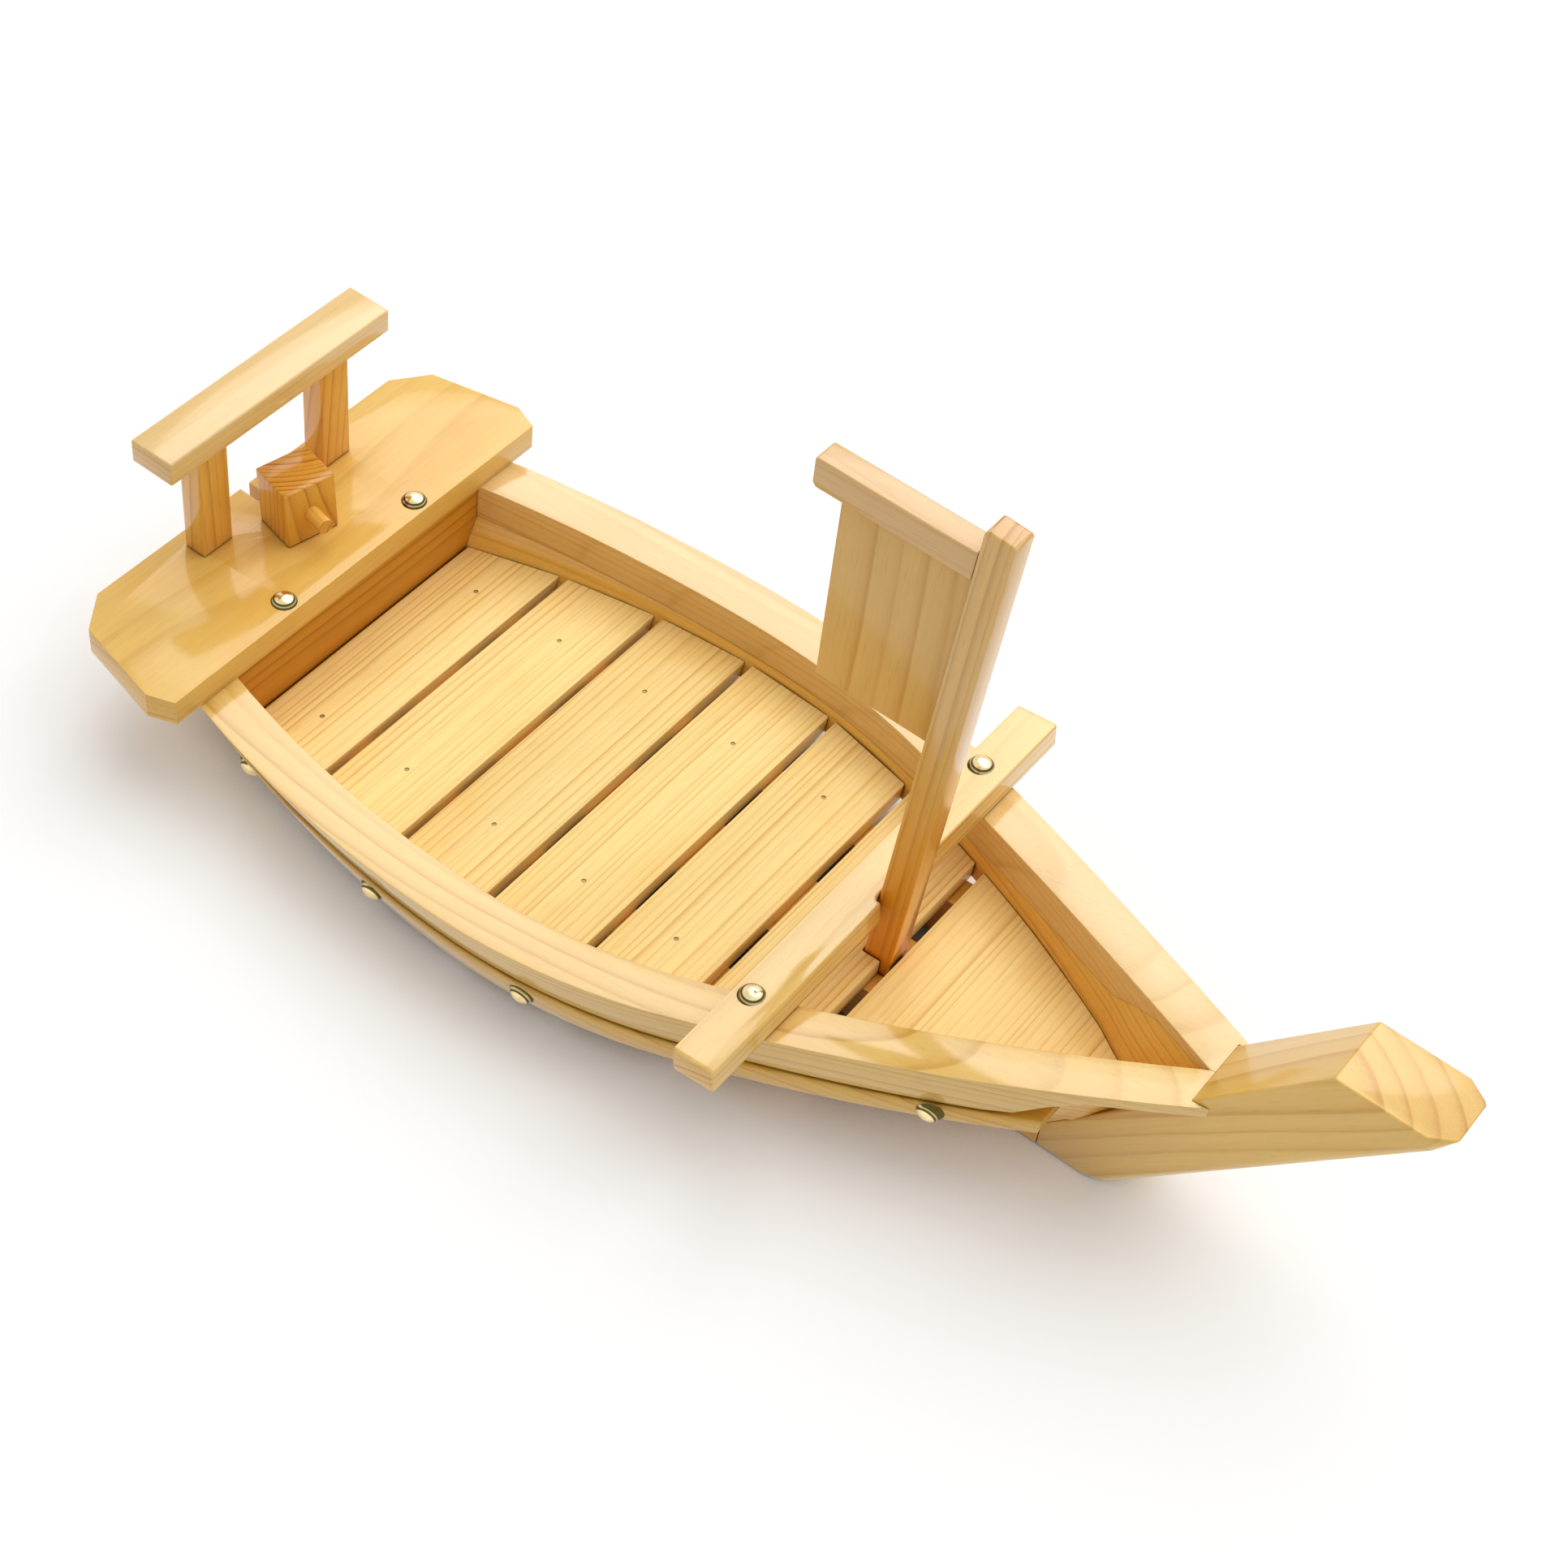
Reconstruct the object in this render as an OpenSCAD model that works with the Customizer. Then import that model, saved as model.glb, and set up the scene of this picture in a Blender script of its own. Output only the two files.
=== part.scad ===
// Wooden sushi boat: a serving boat of pine, built from separate boards.
// +X points to the bow, +Y to port, +Z up. The origin is under the middle of the boat, on the table.
// Round faces are fine enough to follow the large radii of the hull.
$fa = 1;
$fs = 0.4;

/* [Sheer and plan of the hull] */
// Height of the rail tops where the sheer is lowest
sheer_low_z = 37.8; // [34:0.1:44]
// Place of the lowest sheer along the boat
sheer_low_x = -127; // [-150:1:-100]
// Radius of the sheer, seen from the side
sheer_r = 1340; // [1250:10:1600]
// Half breadth between the rails at the widest place
half_breadth = 79.2; // [74:0.1:84]
// Place of the widest breadth
widest_x = -74; // [-85:1:-65]
// Radius of the inner rail edge aft of the widest place
aft_r = 496; // [460:1:560]
// Radius of the inner rail edge forward of the widest place
mid_r = 274; // [262:1:290]
// Place where the bow curve starts
shoulder_x = 16; // [8:1:22]
// Radius of the inner rail edge at the bow
bow_r = 1285; // [1100:5:1600]

/* [Rails, sides and strakes] */
// Width of a rail
rail_w = 18.5; // [17:0.1:20]
// Depth of a rail
rail_h = 16; // [15:0.1:17]
// Aft end of the rails and sides, forward of the rear edge of the stern board
rail_set = 22; // [18:0.5:28]
// Depth of a rail where it laps over the stem
lap_h = 4.8; // [4:0.1:6]
// Length over which the underside of a rail rises to its lap
lap_len = 23; // [18:0.5:26]
// How far behind the stem that rise starts
lap_set = 4.6; // [3:0.1:7]
// Thickness of a side plank
side_t = 6; // [5:0.1:7]
// How fast the sides lean in towards the stern, in a hundred mm of length
flare_rate = 0.167; // [0.15:0.001:0.175]
// Place where the sides start to lean in
flare_x = 112; // [95:1:120]
// Length over which the lean starts
flare_blend = 52; // [40:1:60]
// Lean of the side planks where they meet the stem, as a slope
bow_lean = 0.22; // [0.16:0.01:0.28]
// Where that lean starts, behind the stem
bow_lean_set = 62; // [50:1:75]
// How far the strakes reach past the rear of the stem
strake_lap = 8.4; // [6:0.1:10]
// Depth of a strake amidships
strake_h = 12.9; // [12:0.1:14]
// Depth of a strake at its front end
strake_bow_h = 5.8; // [5:0.1:7]
// How far a strake stands proud of the rail above it
strake_proud = 1.5; // [1:0.1:2]
// Bevel along the upper outer edge of a strake
strake_edge = 1; // [0.6:0.1:1.4]
// Groove between a rail and the strake
strake_gap = 1.2; // [0.8:0.1:1.6]
// Glue line between a strake and its side plank
strake_fit = 0.12; // [0.1:0.01:0.2]

/* [Stem] */
// Width of the stem and of the keel
stem_w = 28.4; // [27:0.1:30]
// Rear end of the stem on the table
stem_rear_x = 123.6; // [120:0.1:126]
// Height of the upright butt between stem and keel
stem_heel_z = 12; // [10:0.5:14]
// Length of the level underside of the stem
stem_foot = 20; // [16:0.1:24]
// Length of the bevel at the toe of the stem
stem_toe_len = 10.3; // [8:0.1:12]
// Height of the bevel at the toe of the stem
stem_toe_z = 5; // [4:0.1:6]
// Height of the sawn tip
stem_tip_z = 120.3; // [112:0.1:126]
// Front end of the sawn tip
stem_tip_x = 249; // [246:0.5:254]
// Length of the sawn tip
stem_tip_len = 40.4; // [38:0.1:44]
// Length of the bevel at the front corners of the tip
stem_tip_bevel = 8.5; // [6:0.1:10]
// Depth of that bevel, across the stem
stem_tip_cut = 5.2; // [3:0.1:7]
// Bevel along the lower front edges
stem_edge_bevel = 2.5; // [1.5:0.1:3.5]

/* [Deck] */
// Height of the deck at the transom
deck_aft_z = 12; // [11:0.1:13]
// Slope of the deck, rising to the bow
deck_slope = 3.58; // [3.3:0.01:3.8]
// Thickness of the slats
slat_t = 7; // [6:0.1:7.5]
// Gap between slats
slat_gap = 3.5; // [2.5:0.1:4.5]
// Gap between the aft slat and the transom
slat_aft_gap = 0.6; // [0.4:0.1:1.5]
// How far the slats reach past the middle of the mast foot
slat_lap = 2.7; // [2.2:0.1:3.2]
// Gap between the slats and the bow deck, beside the mast
mast_slot = 5; // [4.8:0.1:5.4]
// Gap between the deck and the side planks
deck_fit = 0.3; // [0.2:0.05:0.5]
// Place of the bearers, out from the middle
bearer_y = 42; // [40:0.5:43]
// Width of a bearer
bearer_w = 12; // [10:0.5:13]
// How far the bearers reach under the bow deck
bearer_lap = 7.5; // [5:0.5:10]
// How far the foot of a bearer's front end is cut back
bearer_slant = 8; // [6:0.5:12]

/* [Crossbeam] */
// Place of the crossbeam
beam_x = 38.6; // [38:0.1:39.2]
// Length of the crossbeam
beam_len = 197; // [180:1:204]
// Width of the crossbeam
beam_w = 16.6; // [16:0.1:17.2]
// Thickness of the crossbeam
beam_t = 10; // [9:0.1:12]
// How far the beam nails stand aft of its middle
beam_nail_set = 1.8; // [0:0.1:2.5]
// Room on both sides of the mast in the notch of the crossbeam
notch_room = 1.7; // [0.5:0.1:2.5]

/* [Mast and sail] */
// Depth of the mast, along the boat
mast_d = 11.1; // [10.8:0.1:11.4]
// Width of the mast
mast_w = 10.3; // [9.6:0.1:12]
// Middle of the mast foot, forward of the middle of the crossbeam
mast_set = 7.1; // [6.9:0.1:7.3]
// Height of the mast foot in its step
mast_foot_z = 9; // [8:0.1:10]
// Height of the mast top
mast_top_z = 237.6; // [230:0.2:248]
// Rake of the mast, forward from upright
mast_rake = 3.45; // [3.3:0.05:3.6]
// Bevel round the mast top
mast_bevel = 0.8; // [0.5:0.1:1.5]
// Clearance round the mast in the beam, deck and step
mast_fit = 0.4; // [0.3:0.05:0.6]
// Aft edge of the sail board
sail_aft_x = 4.2; // [2:0.1:8]
// Lower edge of the sail board
sail_low_z = 138.4; // [130:0.2:145]
// Thickness of the sail board
sail_t = 6; // [5:0.1:7]
// Depth of the grooves that hold the sail board
groove = 3; // [2.5:0.1:3.5]
// Clearance in the grooves
groove_fit = 0.05; // [0.03:0.01:0.1]
// Aft end of the yard
yard_aft_x = -6; // [-10:0.5:-2]
// Underside of the yard
yard_z = 215.8; // [210:0.2:220]
// Width of the yard
yard_w = 10; // [9:0.1:11]
// Thickness of the yard
yard_t = 11.6; // [10:0.1:13]
// Bevel at the aft end of the yard
yard_bevel = 1.5; // [1:0.1:3]

/* [Stern] */
// Front edge of the stern board
board_front_x = -192.6; // [-195:0.1:-191]
// Length of the stern board along the boat
board_len = 56.4; // [54:0.1:60]
// Thickness of the stern board
board_t = 11.1; // [10:0.1:13]
// Half width of the stern board at its front edge
board_front_y = 94.5; // [92:0.5:96]
// Greatest half width of the stern board
board_wide_y = 98.4; // [97:0.2:101]
// Half width of the stern board before its rear corners
board_tail_y = 90; // [87:0.5:93]
// Half width of the rear edge
board_rear_y = 76; // [72:0.5:80]
// Length of the cut at each front corner
board_nose = 10.4; // [7:0.2:13]
// Length of the cut at each rear corner
board_heel = 10; // [8:0.5:13]
// How far the transom stands back under the board
transom_set = 1; // [0.5:0.1:1.5]
// Thickness of the transom
transom_t = 10; // [9:0.1:11]
// Length of the stern rail
handle_len = 110; // [104:1:116]
// Width of the stern rail
handle_w = 19; // [17:0.1:20]
// Thickness of the stern rail
handle_t = 10; // [9:0.1:12]
// Underside of the stern rail
handle_z = 101.3; // [96:0.1:110]
// Middle of the stern rail, forward of the rear edge of the stern board
handle_set = 10.4; // [9.6:0.1:11.6]
// Depth of a stern post
post_d = 9.5; // [8.5:0.1:10.5]
// Width of a stern post
post_w = 14.2; // [12.5:0.1:15]
// Middle of a stern post, out from the middle of the boat
post_y = 30.9; // [28:0.1:33]
// Shoulder round the tenons of a post
tenon_inset = 2; // [1.5:0.1:2.5]
// Length of the tenons of a post
tenon_len = 6; // [5:0.1:7]
// Clearance of the tenons
tenon_fit = 0.05; // [0.03:0.01:0.1]

/* [Rudder] */
// Place of the rudder stock, forward of the rear edge of the stern board
rudder_set = 27.4; // [26.5:0.1:28.5]
// How far the slot and the rudder stand to port of the middle
rudder_y = -2; // [-3:0.1:3]
// Turn of the rudder as it stands, seen from above
rudder_turn = -12.7; // [-20:0.1:20]
// Depth of the rudder head, along the tiller
head_d = 18.3; // [16:0.1:20]
// Width of the rudder head
head_w = 21.4; // [18:0.1:23]
// Height of the rudder head
head_h = 24.1; // [20:0.1:28]
// How far the rudder head leans aft, in degrees
head_lean = 4.2; // [0:0.1:6]
// Diameter of the rudder stock
stock_d = 4.4; // [4:0.1:5.5]
// Clearance of the stock in the slot
stock_fit = 0.1; // [0.05:0.01:0.1]
// Gap above and below the stern board
rudder_gap = 0.2; // [0.15:0.05:0.3]
// Depth of the sockets that hold the stock
stock_seat = 8; // [6:0.5:10]
// Diameter of the tiller
tiller_d = 6; // [5:0.1:7]
// Length of the tiller outside the head
tiller_len = 8; // [6:0.1:12]
// Height of the tiller above the stern board
tiller_z = 11.6; // [10:0.1:13]
// Depth of the tiller in the head
tiller_seat = 6; // [5:0.5:6]
// Thickness of the rudder blade
blade_t = 7; // [6.5:0.1:8]
// Length of the blade ahead of the stock
blade_fore = 8; // [6:0.5:10]
// Length of the blade behind the stock
blade_aft = 26; // [22:0.5:28]
// Lower edge of the blade
blade_low_z = 6; // [5:0.5:10]
// Height of the bevel at the lower rear corner of the blade
blade_bevel = 12; // [8:0.5:16]

/* [Nails] */
// Diameter of a brass nail head
nail_d = 9.6; // [8:0.1:10]
// Height of a brass nail head
nail_h = 2.8; // [2.2:0.1:3.4]
// Diameter of a nail shank
shank_d = 1.8; // [1.5:0.1:2.2]
// Length of a nail shank below the upper board
shank_len = 6; // [5:0.5:6.5]
// Clearance of nails and brads in their holes
nail_fit = 0.05; // [0.03:0.01:0.1]
// Place of the aft nail in a strake, from the aft end of the strake
side_nail_aft = 50.8; // [44:0.1:58]
// Place of the front nail in a strake, from the front end of the strake
side_nail_fore = 32.2; // [26:0.1:38]
// Place of the stern board nails, out from the middle
stern_nail_y = 34.4; // [32:0.2:40]
// Diameter of a deck brad
brad_d = 1.8; // [1.5:0.1:2.2]
// Length of a deck brad below the slat
brad_grip = 3; // [2:0.5:3.5]
// How far a brad is set below the deck
brad_set = 0.3; // [0.2:0.05:0.5]

/* [Hidden] */
pine = [0.93, 0.80, 0.55];
amber = [0.86, 0.66, 0.36];
brass = [0.78, 0.62, 0.30];
eps = 0.01;
big = 400;

// Counts that the list of nodes and the row of nails depend on
slat_count = 6;
side_nails = 5;

// Number of equal steps along the hull, and along its ends
hull_steps = 36;
tail_steps = 3;
feather_steps = 4;

// Gap that lets a flat board lie on the rails, which curve up a little under it
seat_gap = 0.05;

// Hull curves, all measured along the boat
function arc_drop(r, d) = r - sqrt(r * r - d * d);
function sheer_z(x) = sheer_low_z + arc_drop(sheer_r, x - sheer_low_x);
shoulder_sin = (shoulder_x - widest_x) / mid_r;
bow_cx = shoulder_x - bow_r * shoulder_sin;
shoulder_y = half_breadth - arc_drop(mid_r, shoulder_x - widest_x);
bow_cy = shoulder_y - bow_r * sqrt(1 - shoulder_sin * shoulder_sin);
function in_y(x) =
    x <= widest_x ? half_breadth - arc_drop(aft_r, x - widest_x) :
    x <= shoulder_x ? half_breadth - arc_drop(mid_r, x - widest_x) :
    bow_cy + sqrt(bow_r * bow_r - (x - bow_cx) * (x - bow_cx));
function out_y(x) = in_y(x) + rail_w;

// Lean of the sides, as a slope: none at the bow, growing steadily to the stern
function ease(d, w) = (d + sqrt(d * d + w * w)) / 2;
function lean(x) = flare_rate / 100 * ease(flare_x - x, flare_blend);

// Stern levels and places
board_rear_x = board_front_x - board_len;
rail_aft_x = board_rear_x + rail_set;
handle_x = board_rear_x + handle_set;
rudder_x = board_rear_x + rudder_set;
board_z = sheer_z(board_front_x);
board_top = board_z + board_t;
transom_x = board_front_x - transom_set;
transom_rear = transom_x - transom_t;
function rail_top(x) = x < board_front_x ? board_z : sheer_z(x);

// Underside of a rail: level with its depth, but rising to the lap in front of the stem
stem_toe_x = stem_rear_x + stem_foot;
lap_x = stem_rear_x - lap_set;
function smooth(t) = t * t * (3 - 2 * t);
function lap(x) = smooth(min(1, max(0, (x - lap_x) / lap_len)));
function rail_low(x) = sheer_z(x) - rail_h;
function rail_under(x) = rail_low(x) + (rail_h - lap_h) * lap(x);

// Faces of a side at a height: outside of the rail carried down, inside and outside of the side plank
function skin_y(x, z) = out_y(x) - lean(x) * (rail_top(x) - z);
function bow_share(x) = smooth(min(1, max(0, (x - stem_rear_x + bow_lean_set) / (bow_lean_set + strake_lap))));
function wall_y(x, z) = in_y(x) - (lean(x) + bow_lean * bow_share(x)) * (rail_under(x) - z);
function side_y(x, z) = wall_y(x, z) + side_t;

// Depth of a strake along the boat, the level of its top and middle, and its outer face
strake_end_x = stem_rear_x + strake_lap;
function strake_depth(x) = x <= widest_x ? strake_h :
    strake_h + (strake_bow_h - strake_h) * (x - widest_x) / (strake_end_x - widest_x);
function strake_top(x) = rail_low(x) - strake_gap;
function strake_low(x) = strake_top(x) - strake_depth(x);
function strake_mid(x) = strake_top(x) - strake_depth(x) / 2;
function strake_y(x, z) = skin_y(x, z) + strake_proud;

// Deck levels
deck_tan = tan(deck_slope);
function deck_z(x) = deck_aft_z + (x - transom_x) * deck_tan;
function under_z(x) = deck_z(x) - slat_t / cos(deck_slope);
mast_x = beam_x + mast_set;
slat_end_x = mast_x + slat_lap;
slat_start_x = transom_x + slat_aft_gap;
slat_pitch = (slat_end_x - slat_start_x + slat_gap) / slat_count;
function slat_rear(i) = slat_start_x + i * slat_pitch;
function slat_front(i) = slat_rear(i) + slat_pitch - slat_gap;
bow_deck_x = slat_end_x + mast_slot;
bearer_end_x = bow_deck_x + bearer_lap;

// Crossbeam seat
beam_tilt = asin((beam_x - sheer_low_x) / sheer_r);
beam_nail_y = in_y(beam_x) + rail_w / 2;

// Mast and sail levels, where a place on the raked mast is given by its height
function mast_rear(z) = mast_x + (z - mast_foot_z) * tan(mast_rake) - mast_d / 2 / cos(mast_rake);
mast_len = (mast_top_z - mast_foot_z) / cos(mast_rake);
sail_top_z = yard_z + groove;

// Rear face of the stem, straight from its heel to its tip
stem_rear_tan = (stem_tip_z - stem_heel_z) / (stem_tip_x - stem_tip_len - stem_rear_x);
function stem_rear(z) = stem_rear_x + (z - stem_heel_z) / stem_rear_tan;
stem_front_angle = atan((stem_tip_z - stem_toe_z) / (stem_tip_x - stem_toe_x - stem_toe_len));
keel_end_x = (stem_heel_z - stem_rear_x * stem_rear_tan - under_z(0)) / (deck_tan - stem_rear_tan);
bow_x = stem_tip_x - stem_tip_len;

// Stations shared by rails, sides and strakes, so that they meet face to face
function span(a, b, n) = [for (i = [0 : n - 1]) a + (b - a) * i / n];
side_end_x = stem_rear(sheer_z(stem_rear_x) + rail_h);
feather_x = side_end_x + 20;
aft_stations = span(rail_aft_x, board_front_x, tail_steps);
hull_stations = concat(aft_stations, span(board_front_x, strake_end_x, hull_steps));

// Solid through a row of rings, each ring a list of [x, y, z] seen from the bow
module loft(rings) {
    n = len(rings[0]);
    m = len(rings);
    sides = [for (i = [0 : m - 2], j = [0 : n - 1])
        [i * n + j, i * n + (j + 1) % n, (i + 1) * n + (j + 1) % n, (i + 1) * n + j]];
    polyhedron(
        points = [for (r = rings) each r],
        faces = concat([[for (j = [n - 1 : -1 : 0]) j]], sides, [[for (j = [0 : n - 1]) (m - 1) * n + j]])
    );
}

// Board of the given profile in the XZ plane, centred on the middle of the boat
module upright_board(profile, w) {
    translate([0, w / 2, 0]) rotate([90, 0, 0]) linear_extrude(w) polygon(profile);
}

// Both halves of an outline given by its port half, from stern to bow
function both_sides(half) = concat(half, [for (i = [len(half) - 1 : -1 : 0]) [half[i][0], -half[i][1]]]);

module port_or_starboard(port) {
    if (port) children();
    else mirror([0, 1, 0]) children();
}

// The plane of the deck, with its origin at the foot of the transom
module on_deck() {
    translate([transom_x, 0, deck_aft_z]) rotate([0, -deck_slope, 0]) children();
}
function deck_u(x) = (x - transom_x) / cos(deck_slope);

// Outer size of the mast grown by a clearance and by more room at its sides, standing in its step
module mast_block(fit = 0, room = 0) {
    d = mast_d + 2 * fit;
    w = mast_w + 2 * fit + 2 * room;
    translate([mast_x, 0, mast_foot_z]) rotate([0, mast_rake, 0])
        translate([-d / 2, -w / 2, 0]) cube([d, w, mast_len]);
}

// Place on the crossbeam, with +Z out of its top face
module on_beam(y = 0) {
    translate([beam_x, y, sheer_z(beam_x) + seat_gap]) rotate([0, -beam_tilt, 0]) children();
}

// Brass nail with a domed head, driven down -Z at the origin
module dome_nail(len) {
    ball_r = (nail_d * nail_d / 4 + nail_h * nail_h) / (2 * nail_h);
    intersection() {
        translate([0, 0, nail_h - ball_r]) sphere(ball_r);
        cylinder(d = nail_d + 1, h = nail_h + 1);
    }
    translate([0, 0, -len]) cylinder(d = shank_d, h = len + eps);
}
module nail_hole(len) {
    translate([0, 0, -len - nail_fit]) cylinder(d = shank_d + 2 * nail_fit, h = len + 1);
}

// Places of the nails: each one puts its children at the nail head, +Z out of the wood
module at_beam_nails() {
    for (s = [-1, 1]) on_beam(s * beam_nail_y) translate([-beam_nail_set, 0, beam_t]) children();
}
module at_stern_nails() {
    for (s = [-1, 1]) translate([transom_x - transom_t / 2, s * stern_nail_y, board_top]) children();
}
module at_side_nails() {
    first = rail_aft_x + side_nail_aft;
    last = strake_end_x - side_nail_fore;
    for (i = [0 : side_nails - 1]) {
        x = first + (last - first) * i / (side_nails - 1);
        z = strake_mid(x);
        turn = atan((strake_y(x + 1, z) - strake_y(x - 1, z)) / 2);
        tilt = atan(lean(x) * cos(turn));
        translate([x, strake_y(x, z), z]) rotate([-90 - tilt, 0, turn]) translate([0, 0, seat_gap]) children();
    }
}
module at_brads() {
    for (i = [0 : slat_count - 1], s = [-1, 1])
        on_deck() translate([deck_u((slat_rear(i) + slat_front(i)) / 2), s * bearer_y, -brad_set])
            children();
}
module brad_hole() {
    translate([0, 0, -slat_t - brad_grip]) cylinder(d = brad_d + 2 * nail_fit, h = slat_t + brad_grip + 1);
}

// Hull

module stem() {
    half = stem_w / 2;
    profile = [
        [stem_rear_x, 0],
        [stem_toe_x, 0],
        [stem_toe_x + stem_toe_len, stem_toe_z],
        [stem_tip_x, stem_tip_z],
        [bow_x, stem_tip_z],
        [stem_rear_x, stem_heel_z]
    ];
    plan = both_sides([
        [stem_rear_x, half],
        [stem_tip_x - stem_tip_bevel, half],
        [stem_tip_x, half - stem_tip_cut]
    ]);
    edge = stem_edge_bevel * sqrt(2);
    color(pine) difference() {
        intersection() {
            upright_board(profile, stem_w);
            linear_extrude(big) polygon(plan);
        }
        for (s = [-1, 1]) translate([stem_toe_x + stem_toe_len, s * half, stem_toe_z])
            rotate([0, -stem_front_angle, 0]) rotate([45, 0, 0]) translate([-big / 2, -edge / 2, -edge / 2])
                cube([big, edge, edge]);
    }
}

// Everything in front of the rear face of the stem, as wide as asked
module stem_space(w) {
    top = 2 * stem_tip_z;
    profile = [[stem_rear_x, 0], [big, 0], [big, top], [stem_rear(top), top], [stem_rear_x, stem_heel_z]];
    upright_board(profile, w);
}

module keel() {
    profile = [
        [transom_x, 0],
        [stem_rear_x, 0],
        [stem_rear_x, stem_heel_z],
        [keel_end_x, under_z(keel_end_x)],
        [transom_x, under_z(transom_x)]
    ];
    color(amber) difference() {
        upright_board(profile, stem_w);
        mast_block(mast_fit);
    }
}

module bearer(port) {
    profile = [
        [transom_x, 0],
        [bearer_end_x - bearer_slant, 0],
        [bearer_end_x, under_z(bearer_end_x)],
        [transom_x, under_z(transom_x)]
    ];
    color(amber) difference() {
        translate([0, port ? bearer_y : -bearer_y, 0]) upright_board(profile, bearer_w);
        at_brads() brad_hole();
    }
}

function transom_ring(x) = let (y = in_y(x) - deck_fit, foot_y = wall_y(x, 0) - deck_fit) [
    [x, -y, board_z],
    [x, y, board_z],
    [x, y, rail_low(x)],
    [x, foot_y, 0],
    [x, -foot_y, 0],
    [x, -y, rail_low(x)]
];

module transom() {
    color(pine) difference() {
        loft([transom_ring(transom_rear), transom_ring(transom_x)]);
        at_stern_nails() nail_hole(board_t + shank_len);
    }
}

function side_ring(x) = let (top = rail_under(x), low = under_z(x)) [
    [x, wall_y(x, top), top],
    [x, side_y(x, top), top],
    [x, side_y(x, strake_top(x)), strake_top(x)],
    [x, side_y(x, strake_low(x)), strake_low(x)],
    [x, side_y(x, low), low],
    [x, wall_y(x, low), low]
];

module side_plank(port) {
    color(amber) port_or_starboard(port) difference() {
        loft([for (x = concat(hull_stations, span(strake_end_x, side_end_x, feather_steps))) side_ring(x)]);
        stem_space(big);
        at_side_nails() nail_hole(shank_len);
    }
}

function strake_ring(x) = let (top = strake_top(x), low = strake_low(x)) [
    [x, side_y(x, top) + strake_fit, top],
    [x, strake_y(x, top) - strake_edge, top],
    [x, strake_y(x, top - strake_edge), top - strake_edge],
    [x, strake_y(x, low), low],
    [x, side_y(x, low) + strake_fit, low]
];

module strake(port) {
    color(amber) port_or_starboard(port) difference() {
        loft([for (x = concat(hull_stations, [strake_end_x])) strake_ring(x)]);
        at_side_nails() nail_hole(shank_len);
    }
}

function gunwale_ring(x) = let (top = rail_top(x), low = rail_under(x)) [
    [x, in_y(x), top],
    [x, out_y(x), top],
    [x, skin_y(x, low), low],
    [x, in_y(x), low]
];

module gunwale(port) {
    fore = concat(span(strake_end_x, side_end_x, feather_steps), span(side_end_x, feather_x, feather_steps));
    color(pine) port_or_starboard(port) difference() {
        loft([for (x = concat(hull_stations, fore)) gunwale_ring(x)]);
        translate([0, -big, 0]) cube(big);
        stem_space(stem_w);
        at_beam_nails() nail_hole(beam_t + shank_len);
    }
}

// Deck

function deck_ring(x) = let (top = deck_z(x), low = under_z(x)) [
    [x, deck_fit - wall_y(x, top), top],
    [x, wall_y(x, top) - deck_fit, top],
    [x, wall_y(x, low) - deck_fit, low],
    [x, deck_fit - wall_y(x, low), low]
];

module deck_slat(i) {
    color(pine) difference() {
        loft([deck_ring(slat_rear(i)), deck_ring(slat_front(i))]);
        at_brads() brad_hole();
        mast_block(mast_fit);
    }
}

module bow_deck() {
    steps = 10;
    tip = stem_rear(deck_z(stem_rear_x + stem_heel_z));
    color(pine) difference() {
        loft([for (i = [0 : steps]) deck_ring(bow_deck_x + (tip - bow_deck_x) * i / steps)]);
        stem_space(big);
        mast_block(mast_fit);
    }
}

// Crossbeam

module crossbeam() {
    color(pine) difference() {
        on_beam() translate([-beam_w / 2, -beam_len / 2, 0]) cube([beam_w, beam_len, beam_t]);
        mast_block(mast_fit, notch_room);
        translate([mast_d / 2, 0, 0]) mast_block(mast_fit, notch_room);
        at_beam_nails() nail_hole(beam_t + shank_len);
    }
}

// Stern

module stern_board() {
    tail_x = board_rear_x + board_heel;
    half = [
        [board_rear_x, board_rear_y],
        [tail_x, board_tail_y],
        [board_front_x - board_nose, board_wide_y],
        [board_front_x, board_front_y]
    ];
    slot_w = stock_d + 2 * stock_fit;
    color(pine) difference() {
        translate([0, 0, board_z]) linear_extrude(board_t) polygon(both_sides(half));
        translate([rudder_x, rudder_y, board_z - 1]) {
            cylinder(d = slot_w, h = board_t + 2);
            translate([-rudder_set - 1, -slot_w / 2, 0]) cube([rudder_set + 1, slot_w, board_t + 2]);
        }
        for (s = [-1, 1]) translate([handle_x, s * post_y, board_top - tenon_len - tenon_fit])
            tenon(tenon_len + 1, tenon_fit);
        at_stern_nails() nail_hole(board_t + shank_len);
    }
}

module tenon(len, fit = 0) {
    d = post_d - 2 * tenon_inset + 2 * fit;
    w = post_w - 2 * tenon_inset + 2 * fit;
    translate([-d / 2, -w / 2, 0]) cube([d, w, len]);
}

module stern_post(port) {
    color(amber) translate([handle_x, port ? post_y : -post_y, 0]) {
        translate([-post_d / 2, -post_w / 2, board_top]) cube([post_d, post_w, handle_z - board_top]);
        translate([0, 0, board_top - tenon_len]) tenon(handle_z - board_top + 2 * tenon_len);
    }
}

module stern_rail() {
    color(pine) difference() {
        translate([handle_x - handle_w / 2, -handle_len / 2, handle_z])
            cube([handle_w, handle_len, handle_t]);
        for (s = [-1, 1]) translate([handle_x, s * post_y, handle_z - 1])
            tenon(tenon_len + 1 + tenon_fit, tenon_fit);
    }
}

// Nails

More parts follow.
